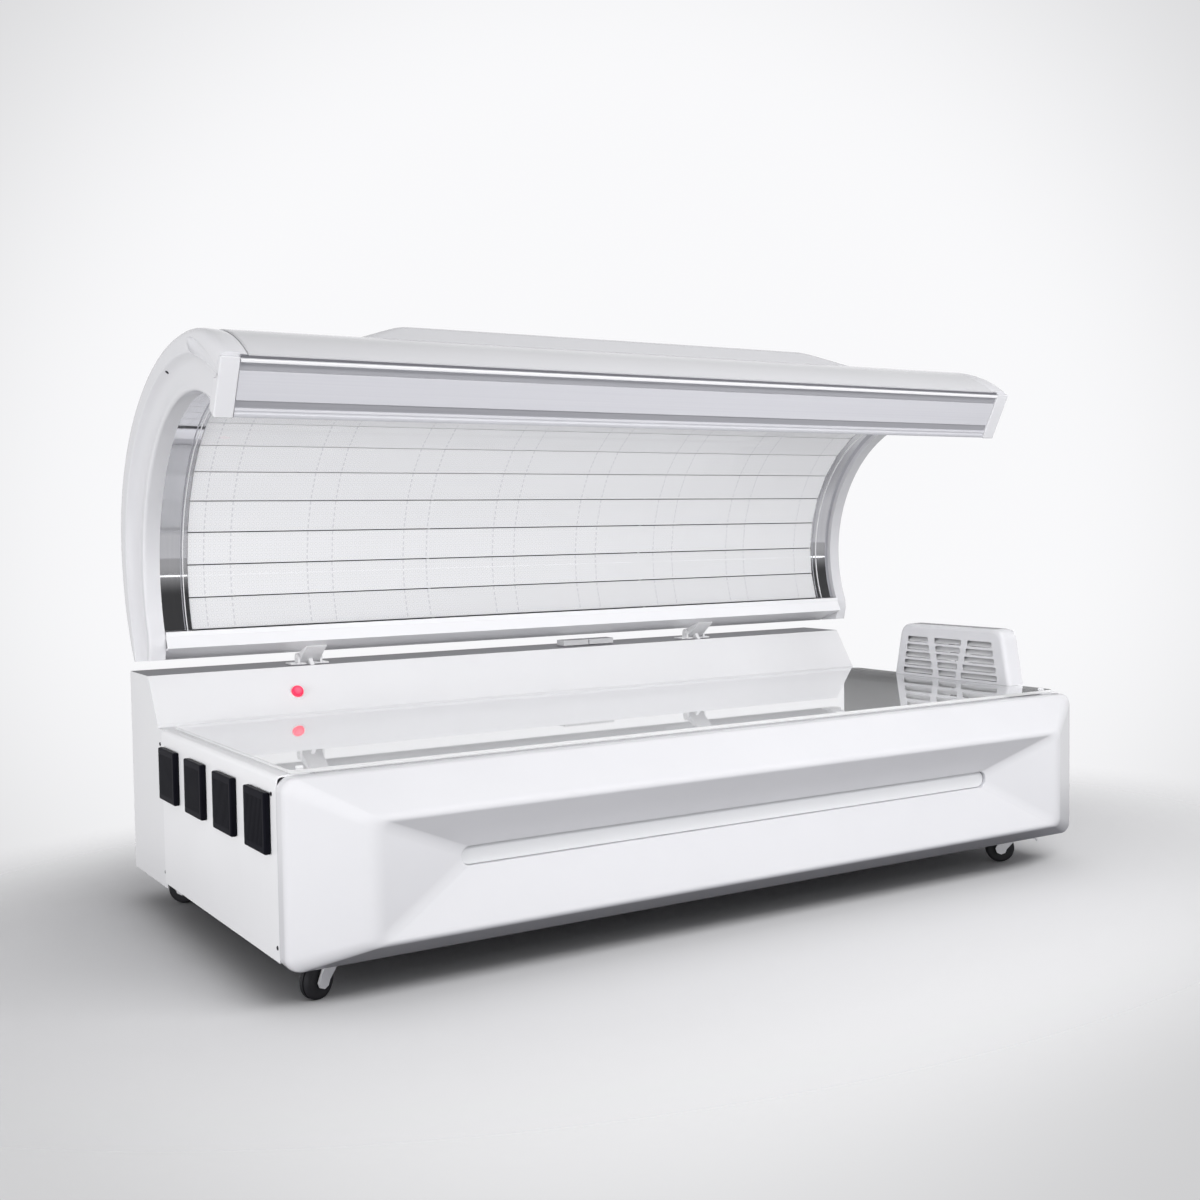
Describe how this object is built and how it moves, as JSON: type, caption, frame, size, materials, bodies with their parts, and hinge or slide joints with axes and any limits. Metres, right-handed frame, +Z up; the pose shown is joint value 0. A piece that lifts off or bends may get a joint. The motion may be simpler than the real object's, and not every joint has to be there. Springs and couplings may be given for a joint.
{
  "type": "red light therapy bed",
  "caption": "Wheeled light therapy bed: clear acrylic lying deck over LED boards, rear console and a hinged arched canopy lined with LED boards.",
  "frame": {"origin": "on the floor under the middle of the bounding box", "axes": "+X along the bed to the head end, -Y to the open side, +Z up"},
  "size_m": [2.24, 1.173, 1.392],
  "materials": {
    "white_gloss": "glossy moulded white",
    "white_steel": "glossy white enamel on sheet steel",
    "black_plastic": "satin black",
    "red_plastic": "glossy red",
    "clear_acrylic": "clear polished acrylic",
    "frosted_acrylic": "frosted diffuser",
    "board_white": "white solder-mask board",
    "brushed_aluminium": "brushed",
    "frame_aluminium": "plain mill finish",
    "polished_metal": "mirror polished",
    "painted_steel": "grey powder coat",
    "zinc_steel": "bright zinc plate",
    "black_rubber": "matte tread"
  },
  "bodies": {
    "base": {"base_frame": "painted_steel", "button_bezel": "black_plastic", "cable_duct": "black_plastic", "console_rear_panel": "white_steel", "console_shell": "white_steel", "control_unit": "black_plastic", "deck_acrylic": "clear_acrylic", "deck_led_board": "board_white", "end_panel_foot": "white_steel", "end_panel_head": "white_steel", "fan_cover_1": "black_plastic", "fan_cover_2": "black_plastic", "fan_cover_3": "black_plastic", "fan_cover_4": "black_plastic", "fan_tray": "black_plastic", "front_casing": "white_gloss", "front_light_bar": "frosted_acrylic", "gas_spring_cylinder_foot": "black_plastic", "gas_spring_cylinder_head": "black_plastic", "hinge_bracket_foot": "painted_steel", "hinge_bracket_head": "painted_steel", "mains_inlet": "black_plastic", "power_supply": "brushed_aluminium", "vent_back_panel": "black_plastic", "vent_housing": "white_gloss"},
    "canopy": {"canopy_acrylic": "clear_acrylic", "canopy_cap_foot": "white_gloss", "canopy_cap_head": "white_gloss", "canopy_fascia": "brushed_aluminium", "canopy_frame": "frame_aluminium", "canopy_led_board": "board_white", "canopy_lower_rail": "white_gloss", "canopy_mirror_foot": "polished_metal", "canopy_mirror_head": "polished_metal", "canopy_roof_cover": "white_gloss", "canopy_shell": "white_gloss", "hinge_arm_foot": "painted_steel", "hinge_arm_head": "painted_steel"},
    "caster_fork_front_foot": {"caster_fork_front_foot": "zinc_steel"},
    "caster_fork_front_head": {"caster_fork_front_head": "zinc_steel"},
    "caster_fork_rear_foot": {"caster_fork_rear_foot": "zinc_steel"},
    "caster_fork_rear_head": {"caster_fork_rear_head": "zinc_steel"},
    "caster_pedal_front_foot": {"caster_pedal_front_foot": "black_plastic"},
    "caster_pedal_front_head": {"caster_pedal_front_head": "black_plastic"},
    "caster_pedal_rear_foot": {"caster_pedal_rear_foot": "black_plastic"},
    "caster_pedal_rear_head": {"caster_pedal_rear_head": "black_plastic"},
    "caster_wheel_front_foot": {"caster_wheel_front_foot": "black_rubber"},
    "caster_wheel_front_head": {"caster_wheel_front_head": "black_rubber"},
    "caster_wheel_rear_foot": {"caster_wheel_rear_foot": "black_rubber"},
    "caster_wheel_rear_head": {"caster_wheel_rear_head": "black_rubber"},
    "fan_rotor_1": {"fan_rotor_1": "black_plastic"},
    "fan_rotor_2": {"fan_rotor_2": "black_plastic"},
    "fan_rotor_3": {"fan_rotor_3": "black_plastic"},
    "fan_rotor_4": {"fan_rotor_4": "black_plastic"},
    "gas_spring_rod_foot": {"gas_spring_rod_foot": "zinc_steel"},
    "gas_spring_rod_head": {"gas_spring_rod_head": "zinc_steel"},
    "mains_rocker": {"mains_rocker": "black_plastic"},
    "start_button": {"start_button": "red_plastic"},
    "vent_fan_rotor": {"vent_fan_rotor": "black_plastic"}
  },
  "joints": [
    {"name": "canopy_hinge", "type": "hinge", "parent": "base", "child": "canopy", "pos_m": [0, 0.47, 0.592], "axis": [1, 0, 0], "range_deg": [0, 38]},
    {"name": "gas_spring_foot", "type": "slide", "parent": "base", "child": "gas_spring_rod_foot", "axis": [0, 0.9205, -0.3907], "range_m": [0, 0.03581]},
    {"name": "gas_spring_head", "type": "slide", "parent": "base", "child": "gas_spring_rod_head", "axis": [0, 0.9205, -0.3907], "range_m": [0, 0.03581]},
    {"name": "start_button_press", "type": "slide", "parent": "base", "child": "start_button", "axis": [0, 0.8238, -0.5669], "range_m": [0, 0.004], "stiffness_N_per_m": 600},
    {"name": "mains_rocker_tilt", "type": "hinge", "parent": "base", "child": "mains_rocker", "pos_m": [0.85, 0.5775, 0.185], "axis": [1, 0, 0], "range_deg": [0, 16]},
    {"name": "fan_1_spin", "type": "hinge", "parent": "base", "child": "fan_rotor_1", "pos_m": [-1.0957, 0.22775, 0.36], "axis": [1, 0, 0], "continuous": true},
    {"name": "fan_2_spin", "type": "hinge", "parent": "base", "child": "fan_rotor_2", "pos_m": [-1.0957, 0.02705, 0.36], "axis": [1, 0, 0], "continuous": true},
    {"name": "fan_3_spin", "type": "hinge", "parent": "base", "child": "fan_rotor_3", "pos_m": [-1.0957, -0.17365, 0.36], "axis": [1, 0, 0], "continuous": true},
    {"name": "fan_4_spin", "type": "hinge", "parent": "base", "child": "fan_rotor_4", "pos_m": [-1.0957, -0.37435, 0.36], "axis": [1, 0, 0], "continuous": true},
    {"name": "vent_fan_spin", "type": "hinge", "parent": "base", "child": "vent_fan_rotor", "pos_m": [1.063, -0.123, 0.5415], "axis": [1, 0, 0], "continuous": true},
    {"name": "caster_swivel_front_foot", "type": "hinge", "parent": "base", "child": "caster_fork_front_foot", "pos_m": [-0.98, -0.412, 0.0977], "axis": [0, 0, 1], "continuous": true},
    {"name": "caster_roll_front_foot", "type": "hinge", "parent": "caster_fork_front_foot", "child": "caster_wheel_front_foot", "pos_m": [-1.01263, -0.42721, 0.0375], "axis": [-0.4226, 0.9063, 0], "continuous": true},
    {"name": "caster_brake_front_foot", "type": "hinge", "parent": "caster_fork_front_foot", "child": "caster_pedal_front_foot", "pos_m": [-0.95644, -0.40101, 0.078], "axis": [-0.4226, 0.9063, 0], "range_deg": [0, 18]},
    {"name": "caster_swivel_front_head", "type": "hinge", "parent": "base", "child": "caster_fork_front_head", "pos_m": [0.98, -0.412, 0.0977], "axis": [0, 0, 1], "continuous": true},
    {"name": "caster_roll_front_head", "type": "hinge", "parent": "caster_fork_front_head", "child": "caster_wheel_front_head", "pos_m": [0.95125, -0.39033, 0.0375], "axis": [0.6018, 0.7986, 0], "continuous": true},
    {"name": "caster_brake_front_head", "type": "hinge", "parent": "caster_fork_front_head", "child": "caster_pedal_front_head", "pos_m": [1.00076, -0.42765, 0.078], "axis": [0.6018, 0.7986, 0], "range_deg": [0, 18]},
    {"name": "caster_swivel_rear_foot", "type": "hinge", "parent": "base", "child": "caster_fork_rear_foot", "pos_m": [-0.98, 0.4465, 0.0977], "axis": [0, 0, 1], "continuous": true},
    {"name": "caster_roll_rear_foot", "type": "hinge", "parent": "caster_fork_rear_foot", "child": "caster_wheel_rear_foot", "pos_m": [-1.00837, 0.46866, 0.0375], "axis": [0.6157, 0.788, 0], "continuous": true},
    {"name": "caster_brake_rear_foot", "type": "hinge", "parent": "caster_fork_rear_foot", "child": "caster_pedal_rear_foot", "pos_m": [-0.95951, 0.43049, 0.078], "axis": [0.6157, 0.788, 0], "range_deg": [0, 18]},
    {"name": "caster_swivel_rear_head", "type": "hinge", "parent": "base", "child": "caster_fork_rear_head", "pos_m": [0.98, 0.4465, 0.0977], "axis": [0, 0, 1], "continuous": true},
    {"name": "caster_roll_rear_head", "type": "hinge", "parent": "caster_fork_rear_head", "child": "caster_wheel_rear_head", "pos_m": [0.94617, 0.43419, 0.0375], "axis": [-0.342, 0.9397, 0], "continuous": true},
    {"name": "caster_brake_rear_head", "type": "hinge", "parent": "caster_fork_rear_head", "child": "caster_pedal_rear_head", "pos_m": [1.00443, 0.45539, 0.078], "axis": [-0.342, 0.9397, 0], "range_deg": [0, 18]}
  ],
  "couplings": [
    {"joint": "gas_spring_foot", "follows": "canopy_hinge", "m_per_rad": 0.053996},
    {"joint": "gas_spring_head", "follows": "canopy_hinge", "m_per_rad": 0.053996}
  ]
}
